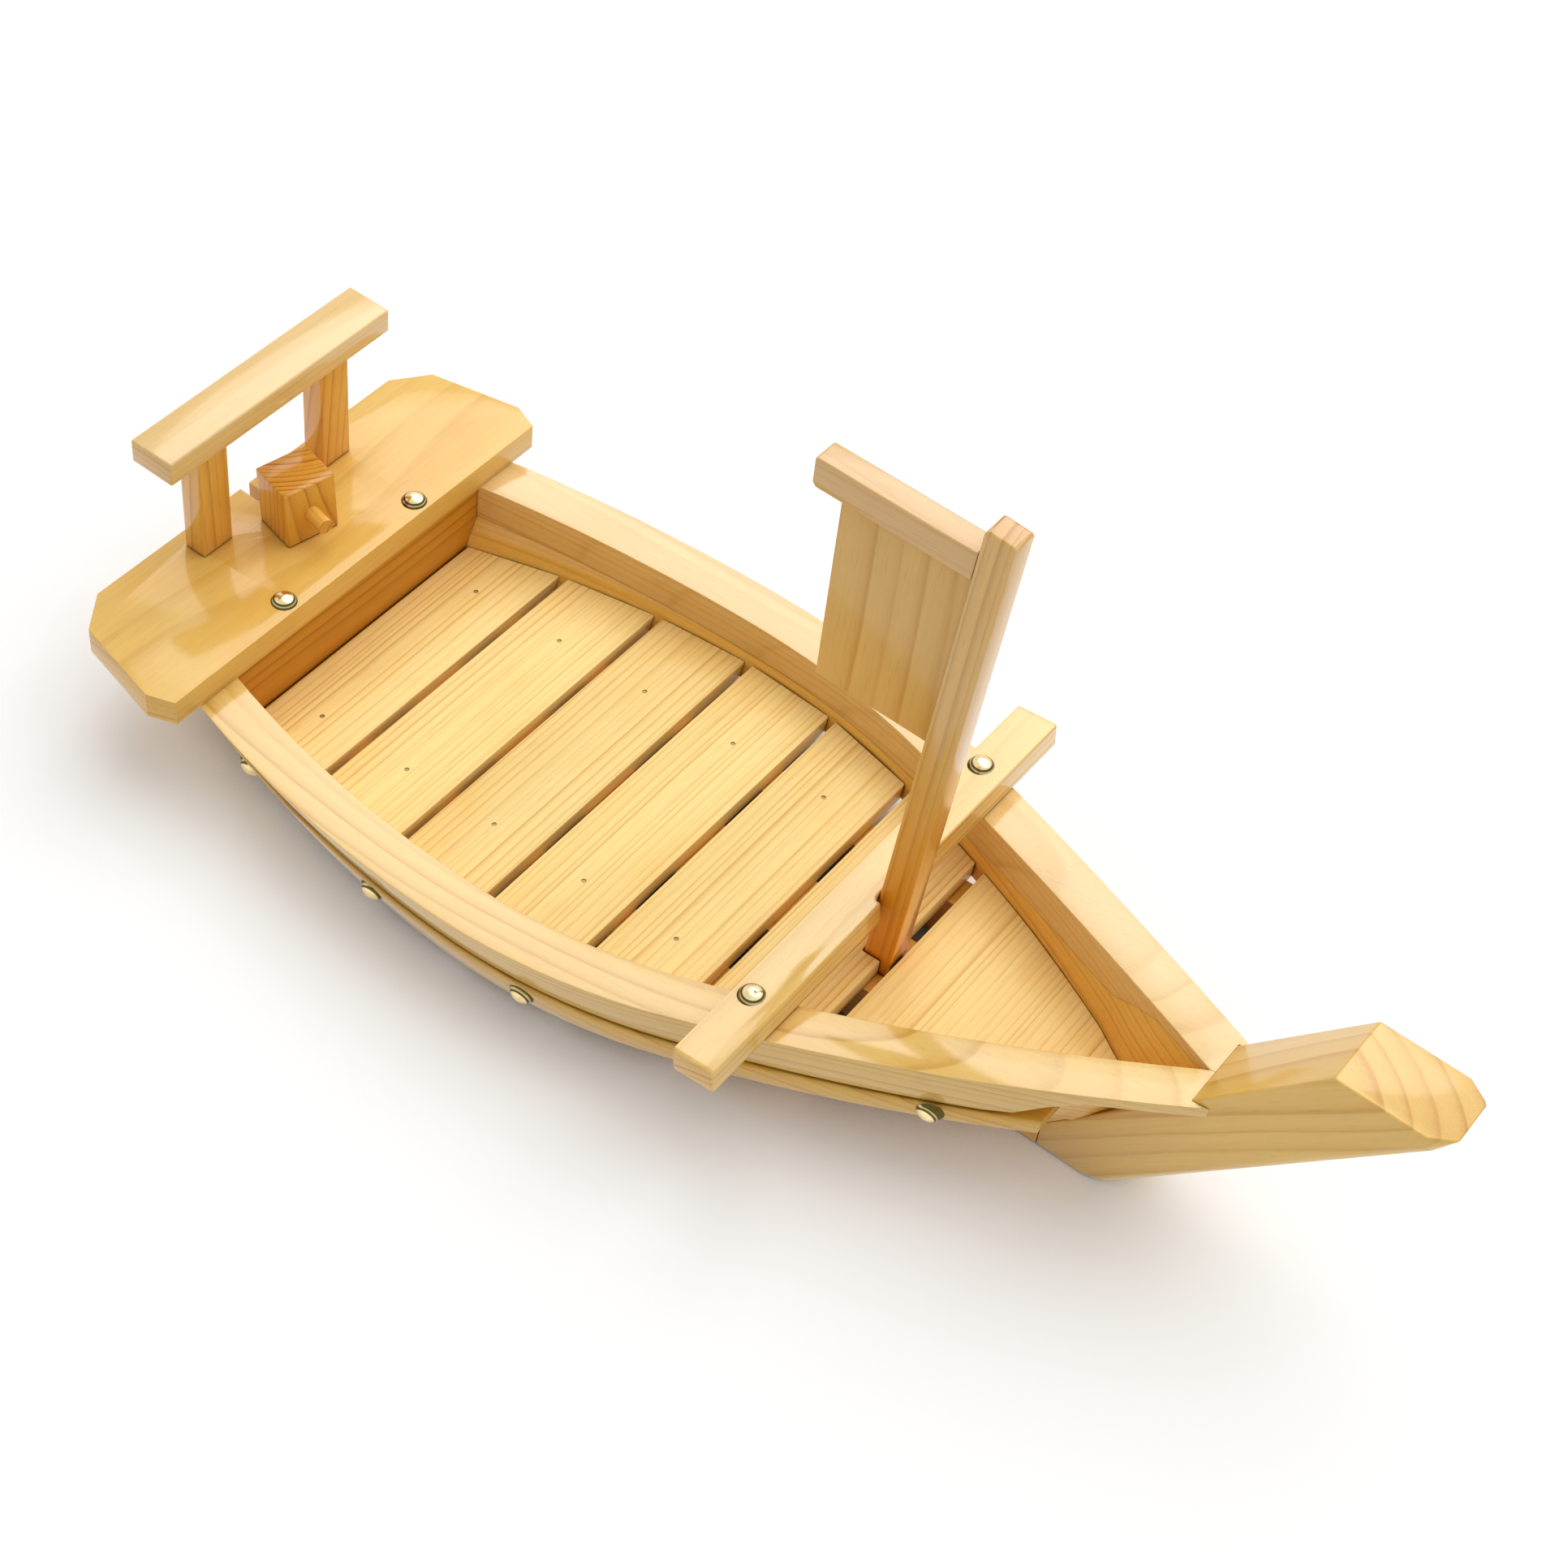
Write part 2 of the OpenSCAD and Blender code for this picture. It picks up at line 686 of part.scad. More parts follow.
module beam_nails() {
    color(brass) at_beam_nails() dome_nail(beam_t + shank_len);
}
module stern_nails() {
    color(brass) at_stern_nails() dome_nail(board_t + shank_len);
}
module strake_nails(port) {
    color(brass) port_or_starboard(port) at_side_nails() dome_nail(shank_len);
}
module deck_brads() {
    len = slat_t + brad_grip - brad_set;
    color(brass) at_brads() translate([0, 0, -len]) cylinder(d = brad_d, h = len);
}

// Mast and sail

module sail_plate(t) {
    profile = [
        [sail_aft_x, sail_low_z],
        [mast_rear(sail_low_z) + groove, sail_low_z],
        [mast_rear(sail_top_z) + groove, sail_top_z],
        [sail_aft_x, sail_top_z]
    ];
    upright_board(profile, t);
}

module mast() {
    side = [
        [-mast_d / 2, 0], [mast_d / 2, 0],
        [mast_d / 2, mast_len - mast_bevel], [mast_d / 2 - mast_bevel, mast_len],
        [mast_bevel - mast_d / 2, mast_len], [-mast_d / 2, mast_len - mast_bevel]
    ];
    front = [
        [-mast_w / 2, 0], [mast_w / 2, 0],
        [mast_w / 2, mast_len - mast_bevel], [mast_w / 2 - mast_bevel, mast_len],
        [mast_bevel - mast_w / 2, mast_len], [-mast_w / 2, mast_len - mast_bevel]
    ];
    color(amber) difference() {
        translate([mast_x, 0, mast_foot_z]) rotate([0, mast_rake, 0]) intersection() {
            upright_board(side, mast_w);
            rotate([0, 0, 90]) upright_board(front, mast_d);
        }
        sail_plate(sail_t + 2 * groove_fit);
    }
}

module sail_board() {
    color(amber) sail_plate(sail_t);
}

module yard() {
    profile = [
        [yard_aft_x, yard_z + yard_bevel],
        [yard_aft_x + yard_bevel, yard_z],
        [mast_rear(yard_z), yard_z],
        [mast_rear(yard_z + yard_t), yard_z + yard_t],
        [yard_aft_x, yard_z + yard_t]
    ];
    color(pine) difference() {
        upright_board(profile, yard_w);
        sail_plate(sail_t + 2 * groove_fit);
    }
}

// Rudder

module on_rudder(z) {
    translate([rudder_x, rudder_y, z]) rotate([0, 0, rudder_turn]) children();
}
head_z = board_top + rudder_gap;
blade_top = board_z - rudder_gap;

module rudder_head() {
    color(amber) difference() {
        on_rudder(head_z) multmatrix([[1, 0, -tan(head_lean), 0], [0, 1, 0, 0], [0, 0, 1, 0]])
            translate([-head_d / 2, -head_w / 2, 0]) cube([head_d, head_w, head_h]);
        on_rudder(head_z - 1) cylinder(d = stock_d, h = stock_seat + 1);
        on_rudder(board_top + tiller_z) translate([head_d / 2 - tiller_seat, 0, 0]) rotate([0, 90, 0])
            cylinder(d = tiller_d, h = tiller_seat + 1);
    }
}

module tiller() {
    color(pine) on_rudder(board_top + tiller_z) translate([head_d / 2 - tiller_seat, 0, 0])
        rotate([0, 90, 0]) cylinder(d = tiller_d, h = tiller_seat + tiller_len);
}

module rudder_stock() {
    low = blade_top - stock_seat;
    color(amber) on_rudder(low) cylinder(d = stock_d, h = head_z + stock_seat - low);
}

module rudder_blade() {
    profile = [
        [-blade_aft, blade_top],
        [-blade_aft, blade_low_z + blade_bevel],
        [-blade_aft + blade_bevel, blade_low_z],
        [blade_fore, blade_low_z],
        [blade_fore, blade_top]
    ];
    color(pine) difference() {
        on_rudder(0) upright_board(profile, blade_t);
        on_rudder(blade_top - stock_seat) cylinder(d = stock_d, h = stock_seat + 1);
    }
}

stem();
keel();
bearer(true);  // bearer_port
bearer(false);  // bearer_starboard
transom();
side_plank(true);  // side_port
side_plank(false);  // side_starboard
strake(true);  // strake_port
strake(false);  // strake_starboard
gunwale(true);  // gunwale_port
gunwale(false);  // gunwale_starboard
for (i = [0 : slat_count - 1]) deck_slat(i);
bow_deck();
crossbeam();
stern_board();
stern_post(true);  // stern_post_port
stern_post(false);  // stern_post_starboard
stern_rail();
beam_nails();
stern_nails();
strake_nails(true);  // side_nails_port
strake_nails(false);  // side_nails_starboard
deck_brads();
mast();
sail_board();
yard();
rudder_head();
tiller();
rudder_stock();
rudder_blade();
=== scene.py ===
import math

import bpy
from mathutils import Matrix, Vector

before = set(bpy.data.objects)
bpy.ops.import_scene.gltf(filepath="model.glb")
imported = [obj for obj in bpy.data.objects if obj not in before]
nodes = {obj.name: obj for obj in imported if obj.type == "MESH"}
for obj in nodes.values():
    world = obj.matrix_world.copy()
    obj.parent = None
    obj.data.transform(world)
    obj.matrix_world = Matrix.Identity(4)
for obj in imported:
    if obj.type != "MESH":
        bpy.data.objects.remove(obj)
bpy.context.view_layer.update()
scene = bpy.context.scene

MM = 0.001
X, Y, Z = (1, 0, 0), (0, 1, 0), (0, 0, 1)


# Shader node helpers

class Tree:
    """Short names for the nodes that the materials use. An input is a socket, a number or a tuple."""

    def __init__(self, tree):
        self.tree = tree

    def put(self, socket, value):
        if isinstance(value, bpy.types.NodeSocket):
            self.tree.links.new(value, socket)
        else:
            socket.default_value = value

    def node(self, kind, inputs=None, **settings):
        made = self.tree.nodes.new(kind)
        for name, value in settings.items():
            setattr(made, name, value)
        for key, value in (inputs or {}).items():
            self.put(made.inputs[key], value)
        return made

    def math(self, operation, a, b=0.0, c=0.0):
        return self.node("ShaderNodeMath", {0: a, 1: b, 2: c}, operation=operation).outputs[0]

    def vary(self, value, spread):
        """A factor that varies by spread round 1 as value goes from 0 to 1."""
        return self.math("MULTIPLY_ADD", value, spread, 1.0 - spread / 2)

    def vector(self, operation, a, b=(0.0, 0.0, 0.0)):
        made = self.node("ShaderNodeVectorMath", {0: a, 1: b}, operation=operation)
        return made.outputs["Value" if operation in ("LENGTH", "DOT_PRODUCT") else "Vector"]

    def noise(self, vector, seed, scale=1.0, detail=2.0, rough=0.5):
        return self.node(
            "ShaderNodeTexNoise",
            {"Vector": vector, "W": seed, "Scale": scale, "Detail": detail, "Roughness": rough},
            noise_dimensions="4D",
        ).outputs

    def above(self, value, limit):
        return self.node("FunctionNodeCompare", {0: value, 1: limit}, operation="GREATER_THAN").outputs[0]

    def ramp(self, value, stops):
        made = self.node("ShaderNodeValToRGB", {"Fac": value})
        elements = made.color_ramp.elements
        while len(elements) > 1:
            elements.remove(elements[-1])
        for i, (position, level) in enumerate(stops):
            element = elements[0] if i == 0 else elements.new(position)
            element.position = position
            element.color = (level, level, level, 1)
        return made.outputs["Color"]

    def mix(self, factor, a, b, blend="MIX"):
        made = self.node("ShaderNodeMix", data_type="RGBA", blend_type=blend)
        self.put(made.inputs[0], factor)
        self.put(made.inputs[6], a)
        self.put(made.inputs[7], b)
        return made.outputs[2]

    def tint(self, factor, colour, tint):
        return self.mix(factor, colour, self.mix(1.0, colour, (*tint, 1), "MULTIPLY"))


def new_material(name):
    material = bpy.data.materials.new(name)
    material.use_nodes = True
    material.node_tree.nodes.clear()
    return material, Tree(material.node_tree)


def new_group(name, kind, inputs, outputs):
    group = bpy.data.node_groups.new(name, kind)
    for way, sockets in (("INPUT", inputs), ("OUTPUT", outputs)):
        for socket, value in sockets:
            group.interface.new_socket(socket, in_out=way, socket_type=f"NodeSocket{value}")
    return group, Tree(group)


# Wood, as a solid texture: rings round a pith line, so that end grain and long grain agree

# Waves per metre along and across the grain
WANDER_WAVES = (5.0, 9.0, 9.0)
RIPPLE_WAVES = (22.0, 70.0, 70.0)
FIBRE_WAVES = (18.0, 620.0, 620.0)
FLECK_WAVES = (95.0, 2100.0, 2100.0)
PATCH_WAVES = (7.0, 26.0, 26.0)
STAIN_WAVES = (20.0, 38.0, 38.0)
RIPPLE_SIZE = (0.0, 0.8 * MM, 0.8 * MM)
ACROSS = (0.0, 1.0, 1.0)
NOISE_MIDDLE = (0.5, 0.5, 0.5)

# Share of late wood from the start of a ring to its end, and how uneven the rings are
RING_PROFILE = [(0.0, 0.10), (0.12, 0.0), (0.50, 0.10), (0.76, 0.42), (0.90, 1.0), (0.96, 0.90), (1.0, 0.10)]
RING_UNEVENNESS, RING_UNEVEN_WAVES = 1.6, 0.37
WEAKEST_RING = 0.2

FLECK_RAMP = [(0.60, 0.0), (0.74, 1.0)]
STAIN_RAMP = [(0.50, 0.0), (0.72, 1.0)]
FIBRE_SPREAD, PATCH_SPREAD, FLECK_DEPTH = 0.20, 0.22, 0.12
STAIN_TINT = (0.97, 0.84, 0.60)
END_TINT, END_CONTRAST = (0.92, 0.84, 0.72), 0.6

# Shares of ring, fibre and fleck in the height, and the roughness under the lacquer
RING_HEIGHT, FIBRE_HEIGHT, FLECK_HEIGHT = 0.4, 0.5, 0.25
SMOOTHEST, FIBRE_ROUGH, END_ROUGH = 0.34, 0.14, 0.12


def pine_group():
    group, t = new_group(
        "pine", "ShaderNodeTree",
        (("Vector", "Vector"), ("Normal", "Float"), ("Rings", "Float"), ("Warp", "Float"), ("Contrast", "Float"),
         ("Stain", "Float"), ("Seed", "Float"), ("Early", "Color"), ("Late", "Color")),
        (("Color", "Color"), ("Height", "Float"), ("Roughness", "Float")),
    )
    source = t.node("NodeGroupInput").outputs
    place, end, seed = source["Vector"], source["Normal"], source["Seed"]

    def waves(scale, offset=0.0, **settings):
        start = t.math("ADD", seed, offset) if offset else seed
        return t.noise(t.vector("MULTIPLY", place, scale), start, **settings)

    # The pith wanders along the board, and finer waves run over it
    slow = waves(WANDER_WAVES, detail=1.0)["Color"]
    wander = t.node("ShaderNodeVectorMath", {0: t.vector("SUBTRACT", slow, NOISE_MIDDLE), "Scale": source["Warp"]},
                    operation="SCALE").outputs["Vector"]
    fine = waves(RIPPLE_WAVES, 4.7)["Color"]
    ripple = t.vector("MULTIPLY", t.vector("SUBTRACT", fine, NOISE_MIDDLE), RIPPLE_SIZE)
    moved = t.vector("ADD", t.vector("ADD", place, wander), ripple)
    radius = t.vector("LENGTH", t.vector("MULTIPLY", moved, ACROSS))

    # Rings of uneven width and strength
    phase = t.math("MULTIPLY", radius, source["Rings"])
    uneven = t.node(
        "ShaderNodeTexNoise",
        {"W": t.math("MULTIPLY_ADD", phase, RING_UNEVEN_WAVES, seed), "Scale": 1.0, "Detail": 1.0},
        noise_dimensions="1D",
    ).outputs[0]
    phase = t.math("ADD", phase, t.math("MULTIPLY", uneven, RING_UNEVENNESS))
    late = t.ramp(t.math("FRACT", phase), RING_PROFILE)
    strength = t.node("ShaderNodeTexWhiteNoise", {"W": t.math("ADD", t.math("FLOOR", phase), seed)},
                      noise_dimensions="1D").outputs["Value"]
    late = t.math("MULTIPLY", late, t.math("MULTIPLY_ADD", strength, 1.0 - WEAKEST_RING, WEAKEST_RING))

    # Fibres, short resin flecks, slow patches of colour and stains of deeper lacquer
    fibre = waves(FIBRE_WAVES, detail=3.0, rough=0.6)[0]
    fleck = t.ramp(waves(FLECK_WAVES, detail=1.0)[0], FLECK_RAMP)
    patch = waves(PATCH_WAVES, 9.1)[0]
    stain = t.ramp(waves(STAIN_WAVES, 3.3, detail=3.0)[0], STAIN_RAMP)

    strong = t.math("MULTIPLY_ADD", end, END_CONTRAST, source["Contrast"])
    colour = t.mix(t.math("MULTIPLY", late, strong), source["Early"], source["Late"])
    level = t.math("MULTIPLY", t.vary(fibre, FIBRE_SPREAD), t.vary(patch, PATCH_SPREAD))
    level = t.math("MULTIPLY", level, t.math("MULTIPLY_ADD", fleck, -FLECK_DEPTH, 1.0))
    grey = t.node("ShaderNodeCombineColor", {0: level, 1: level, 2: level}).outputs[0]
    colour = t.mix(1.0, colour, grey, "MULTIPLY")
    colour = t.tint(t.math("MULTIPLY", stain, source["Stain"]), colour, STAIN_TINT)
    colour = t.tint(end, colour, END_TINT)

    height = t.math("ADD", t.math("MULTIPLY", late, RING_HEIGHT), t.math("MULTIPLY", fibre, FIBRE_HEIGHT))
    height = t.math("SUBTRACT", height, t.math("MULTIPLY", fleck, FLECK_HEIGHT))
    rough = t.math("ADD", t.math("MULTIPLY_ADD", fibre, FIBRE_ROUGH, SMOOTHEST), t.math("MULTIPLY", end, END_ROUGH))
    sink = t.node("NodeGroupOutput").inputs
    for name, value in (("Color", colour), ("Height", height), ("Roughness", rough)):
        t.put(sink[name], value)
    return group


PINE = pine_group()

# Colours of early and late wood; where noted, a palette also holds painted shade, sheen or light
CREAM = (0.80, 0.525, 0.155), (0.56, 0.27, 0.020)
BEAM = (0.86, 0.57, 0.175), (0.58, 0.28, 0.020)
# Paler pine for the port rail and stern rail: partly their own tone, partly a painted sheen on their tops
PORT_SHEENED = (0.81, 0.545, 0.210), (0.63, 0.34, 0.050)
PALE = (0.76, 0.46, 0.135), (0.56, 0.27, 0.042)
SIDE = (0.90, 0.52, 0.090), (0.60, 0.26, 0.020)
STRAKE = (0.77, 0.45, 0.065), (0.52, 0.23, 0.014)
AMBER = (0.85, 0.45, 0.075), (0.56, 0.22, 0.016)
# Brighter pine for the deck: partly the slats' own tone, partly painted light that lifts the shade in the well
DECK = (0.97, 0.71, 0.280), (0.68, 0.35, 0.060)
STEM = (0.82, 0.51, 0.110), (0.60, 0.28, 0.012)
# Deeper amber for the transom: partly its own tone, partly painted shade
TRANSOM_SHADED = (0.64, 0.28, 0.022), (0.38, 0.13, 0.006)
BOARD = (0.83, 0.52, 0.125), (0.66, 0.34, 0.045)
YARD = (0.71, 0.44, 0.160), (0.56, 0.29, 0.060)
HEAD = (0.82, 0.41, 0.050), (0.48, 0.16, 0.008)

# How far a face turns towards the end of the fibres, before it counts as end grain
END_RAMP = [(0.70, 0.0), (0.95, 1.0)]
# Painted warm light bounced up from the boat, which deepens the colour towards the foot
BOUNCE_TINT = (1.08, 0.74, 0.12)
# Painted shade in seams and crevices, found by ambient occlusion: its tint, reach and ramp
CREVICE_SHADE_TINT, CREVICE_SHADE_REACH, CREVICE_SHADE_RAMP = (0.30, 0.17, 0.08), 2.5 * MM, [(0.30, 0.85), (0.62, 0.0)]
AO_SAMPLES = 8


def wood(name, grain, pith, rings=3.0, warp=7.0, contrast=0.7, palette=AMBER, seed=1.0, coat=1.0, stain=0.4,
         foot=None):
    """Lacquered pine. grain is the direction of the fibres and pith a point on the tree's middle, in mm.
    rings is the width of a year's growth in mm, warp how far the rings wander in mm, and palette the colours
    of early and late wood. coat is the strength of the lacquer, stain that of its orange patches, and foot
    gives two heights in mm between which painted warm light, bounced up from the boat, deepens the colour
    downwards. Painted shade darkens the seams and crevices between the pieces."""
    early, late = palette
    g = Vector(grain).normalized()
    side = Vector(Z) if abs(g.z) < 0.9 else Vector(Y)
    a = side.cross(g).normalized()
    b = g.cross(a)
    turn = Matrix((g, a, b))
    material, t = new_material(name)
    coord = t.node("ShaderNodeTexCoord").outputs
    place = t.node("ShaderNodeMapping", {
        "Vector": coord["Object"], "Location": -(turn @ (Vector(pith) * MM)), "Rotation": turn.to_euler("XYZ"),
    }).outputs[0]
    end = t.ramp(t.math("ABSOLUTE", t.vector("DOT_PRODUCT", coord["Normal"], tuple(g))), END_RAMP)
    pine = t.node("ShaderNodeGroup", node_tree=PINE)
    for key, value in (
        ("Vector", place), ("Normal", end), ("Rings", 1.0 / (rings * MM)), ("Warp", warp * MM),
        ("Contrast", contrast), ("Stain", stain), ("Seed", seed), ("Early", (*early, 1)), ("Late", (*late, 1)),
    ):
        t.put(pine.inputs[key], value)
    colour = pine.outputs["Color"]
    # Painted warm bounce light: the colour deepens towards the foot
    if foot:
        low, high = foot
        height = t.node("ShaderNodeSeparateXYZ", {0: coord["Object"]}).outputs["Z"]
        bounce = t.node("ShaderNodeMapRange", {0: height, 1: high * MM, 2: low * MM, 3: 0.0, 4: 1.0}).outputs[0]
        colour = t.tint(bounce, colour, BOUNCE_TINT)
    # Painted shade: ambient occlusion darkens the seams and crevices between the pieces
    open_sky = t.node("ShaderNodeAmbientOcclusion", {"Distance": CREVICE_SHADE_REACH}, samples=AO_SAMPLES).outputs["AO"]
    colour = t.tint(t.ramp(open_sky, CREVICE_SHADE_RAMP), colour, CREVICE_SHADE_TINT)
    bump = t.node("ShaderNodeBump", {"Height": pine.outputs["Height"], "Strength": 0.18, "Distance": 0.5 * MM})
    shader = t.node("ShaderNodeBsdfPrincipled", {
        "Base Color": colour, "Roughness": pine.outputs["Roughness"], "Normal": bump.outputs[0],
        "Specular IOR Level": 0.08, "Coat Weight": coat, "Coat Roughness": 0.12,
    })
    t.put(t.node("ShaderNodeOutputMaterial").inputs["Surface"], shader.outputs[0])
    return material


# Brass, with painted dark rings at the rim of a dome that stand for the reflection of dark surroundings

NAIL_LIGHT, NAIL_DARK, NAIL_ROUGH = (0.90, 0.74, 0.42), (0.74, 0.56, 0.25), 0.10
BRAD_LIGHT, BRAD_DARK, BRAD_ROUGH = (0.36, 0.24, 0.10), (0.26, 0.17, 0.07), 0.50
# Painted reflection: the colour of the dark rings on a dome and where they lie
DARK_REFLECTION_TINT = (0.10, 0.075, 0.018)
REFLECTION_RING_PROFILE = [(0.49, 1.0), (0.60, 1.0), (0.635, 0.4), (0.67, 0.4), (0.70, 1.0), (0.775, 1.0), (0.80, 0.0)]
TARNISH_RAMP = [(0.35, 0.0), (0.75, 1.0)]
TARNISH_ROUGH, BRASS_GRAIN = 0.16, 0.25


def brass(name, light, dark, rough, axis=None):
    """Brass with stains. Where an axis is given, the rim of a dome that faces along it gets painted dark rings, a
    painted reflection of dark surroundings.
    """
    material, t = new_material(name)
    coord = t.node("ShaderNodeTexCoord").outputs
    stain = t.noise(coord["Object"], 2.0, scale=420.0, detail=3.0)[0]
    grain = t.noise(coord["Object"], 5.0, scale=2600.0, detail=2.0)[0]
    colour = t.mix(t.ramp(stain, TARNISH_RAMP), (*light, 1), (*dark, 1))
    # Painted reflection: dark rings at the rim, where the dome would mirror dark surroundings
    if axis:
        facing = t.vector("DOT_PRODUCT", coord["Normal"], tuple(Vector(axis).normalized()))
        colour = t.mix(t.ramp(facing, REFLECTION_RING_PROFILE), colour, (*DARK_REFLECTION_TINT, 1))
    height = t.math("ADD", stain, t.math("MULTIPLY", grain, BRASS_GRAIN))
    bump = t.node("ShaderNodeBump", {"Height": height, "Strength": 0.12, "Distance": 0.4 * MM})
    shader = t.node("ShaderNodeBsdfPrincipled", {
        "Base Color": colour, "Metallic": 1.0, "Normal": bump.outputs[0],
        "Roughness": t.math("MULTIPLY_ADD", stain, TARNISH_ROUGH, rough),
    })
    t.put(t.node("ShaderNodeOutputMaterial").inputs["Surface"], shader.outputs[0])
    return material


# Softened edges: equal points are welded, flat faces joined and sharp edges rounded

SMOOTH_ANGLE, SHARP_ANGLE = math.radians(32), math.radians(34)
SHORTEST_EDGE = 1.2 * MM
WELD_REACH = 2e-6
GEOMETRY = (("Geometry", "Geometry"),)


def smoothing_group():
    group, t = new_group("smooth_by_angle", "GeometryNodeTree", GEOMETRY, GEOMETRY)
    source = t.node("NodeGroupInput").outputs[0]
    faces = t.node("GeometryNodeSetShadeSmooth", {"Geometry": source, "Shade Smooth": True}, domain="FACE")
    sharp = t.above(t.node("GeometryNodeInputMeshEdgeAngle").outputs[0], SMOOTH_ANGLE)
    edges = t.node("GeometryNodeSetShadeSmooth",
                   {"Geometry": faces.outputs[0], "Selection": sharp, "Shade Smooth": False}, domain="EDGE")
    t.put(t.node("NodeGroupOutput").inputs[0], edges.outputs[0])
    return group


def edge_group(lower=None):
    """Marks the sharp edges that are long enough to be rounded, which leaves the rims of small holes out.
    Where lower is given, the edges that don't face along it are rounded half as much."""
    group, t = new_group("long_sharp_edges", "GeometryNodeTree", GEOMETRY, GEOMETRY)
    source = t.node("NodeGroupInput").outputs[0]
    ends = t.node("GeometryNodeInputMeshEdgeVertices").outputs
    length = t.vector("LENGTH", t.vector("SUBTRACT", ends["Position 1"], ends["Position 2"]))
    sharp = t.above(t.node("GeometryNodeInputMeshEdgeAngle").outputs[0], SHARP_ANGLE)
    weight = t.node("FunctionNodeBooleanMath", {0: sharp, 1: t.above(length, SHORTEST_EDGE)},
                    operation="AND").outputs[0]
    if lower:
        facing = t.vector("DOT_PRODUCT", t.node("GeometryNodeInputNormal").outputs[0], lower)
        weight = t.math("MULTIPLY", weight, t.math("MULTIPLY_ADD", t.above(facing, 0.5), 0.5, 0.5))
    store = t.node("GeometryNodeStoreNamedAttribute",
                   {"Geometry": source, "Name": "bevel_weight_edge", "Value": weight},
                   data_type="FLOAT", domain="EDGE")
    t.put(t.node("NodeGroupOutput").inputs[0], store.outputs[0])
    return group


SMOOTH = smoothing_group()
EDGES = edge_group()


def dress(name, material, width, segments=3, flatten=0.6, lower=None):
    """Gives a CAD piece its material and rounds its sharp edges by modifiers alone. width is in mm, and
    flatten is the angle in degrees up to which faces are joined. See edge_group for lower."""
    piece = nodes[name]
    piece.data.materials.clear()
    piece.data.materials.append(material)
    weld = piece.modifiers.new("weld", "WELD")
    weld.merge_threshold = WELD_REACH
    if flatten:
        flat = piece.modifiers.new("flat", "DECIMATE")
        flat.decimate_type = "DISSOLVE"
        flat.angle_limit = math.radians(flatten)
    edges = piece.modifiers.new("edges", "NODES")
    edges.node_group = edge_group(lower) if lower else EDGES
    bevel = piece.modifiers.new("bevel", "BEVEL")
    bevel.width = width * MM
    bevel.segments = segments
    bevel.limit_method = "WEIGHT"
    bevel.miter_outer = "MITER_ARC"
    bevel.use_clamp_overlap = True
    smooth = piece.modifiers.new("smooth", "NODES")
    smooth.node_group = SMOOTH


def board(name, edge, grain, pith, **look):
    """A wooden piece. edge holds what dress takes after the material, and look what wood takes after pith."""
    dress(name, wood(f"{name}_wood", grain, pith, **look), **edge)


def rounded(width, **settings):
    return {"width": width, **settings}


CURVED = {"flatten": 0.0}
NAIL_EDGE = rounded(0.25, segments=2, **CURVED)

# Hull
STEM_UNDERSIDE = (0.787, 0, -0.617)
board("stem", rounded(3.0, segments=4, lower=STEM_UNDERSIDE), (0.67, 0.03, 0.742), (192, -39, 148),
      rings=7.8, warp=14, contrast=0.8, palette=STEM, seed=3.1)
board("keel", rounded(0.5), X, (0, 20, -40), seed=5.7)
for sign, side in ((1, "port"), (-1, "starboard")):
    board(f"bearer_{side}", rounded(0.5), X, (0, sign * 60, -30), seed=6.3 + sign)
    board(f"side_{side}", rounded(0.3, segments=2, **CURVED), X, (0, sign * 40, 330),
          rings=2.8, warp=5, contrast=0.9, palette=SIDE, seed=7.9 + sign)
    board(f"strake_{side}", rounded(0.6, segments=2, **CURVED), X, (0, sign * 40, 130),
          rings=3.2, warp=5, contrast=0.8, palette=STRAKE, seed=9.4 + sign)
    board(f"gunwale_{side}", rounded(0.9, **CURVED), (1, 0.02, 0.03), (0, sign * 30, -70),
          rings=3.6, warp=10, contrast=1.0, palette=CREAM if sign < 0 else PORT_SHEENED, seed=11.2 + sign)
    board(f"stern_post_{side}", rounded(0.5), (0.08, 0.05, 1), (-205, sign * 75, 0),
          rings=3.2, warp=6, contrast=0.9, seed=13.8 + sign)
    outward = (0.1, sign, -0.25)
    dress(f"side_nails_{side}", brass(f"side_nails_{side}_brass", NAIL_LIGHT, NAIL_DARK, NAIL_ROUGH, outward),
          **NAIL_EDGE)
# The transom's palette is partly painted shade
board("transom", rounded(0.4), Y, (-120, 0, -30),
      rings=4.5, warp=6, contrast=0.8, palette=TRANSOM_SHADED, seed=15.1, coat=0.4)

# Deck, with the pith in turn before and behind the slats
DECK_LOOK = {"rings": 2.6, "warp": 4, "contrast": 0.85, "palette": DECK, "coat": 0.1}
SLATS, FIRST_SLAT, SLAT_PITCH = 6, -174, 40
PITH_BEFORE, PITH_BEHIND = 90, -105
for i in range(1, SLATS + 1):
    middle = FIRST_SLAT + SLAT_PITCH * (i - 1)
    pith_x = middle + (PITH_BEFORE if i % 2 else PITH_BEHIND)
    board(f"deck_slat_{i}", rounded(0.5), Y, (pith_x, 0, -25), seed=17.0 + 1.7 * i, **DECK_LOOK)
board("bow_deck", rounded(0.5), Y, (-10, 0, -20), seed=31.3, **DECK_LOOK)

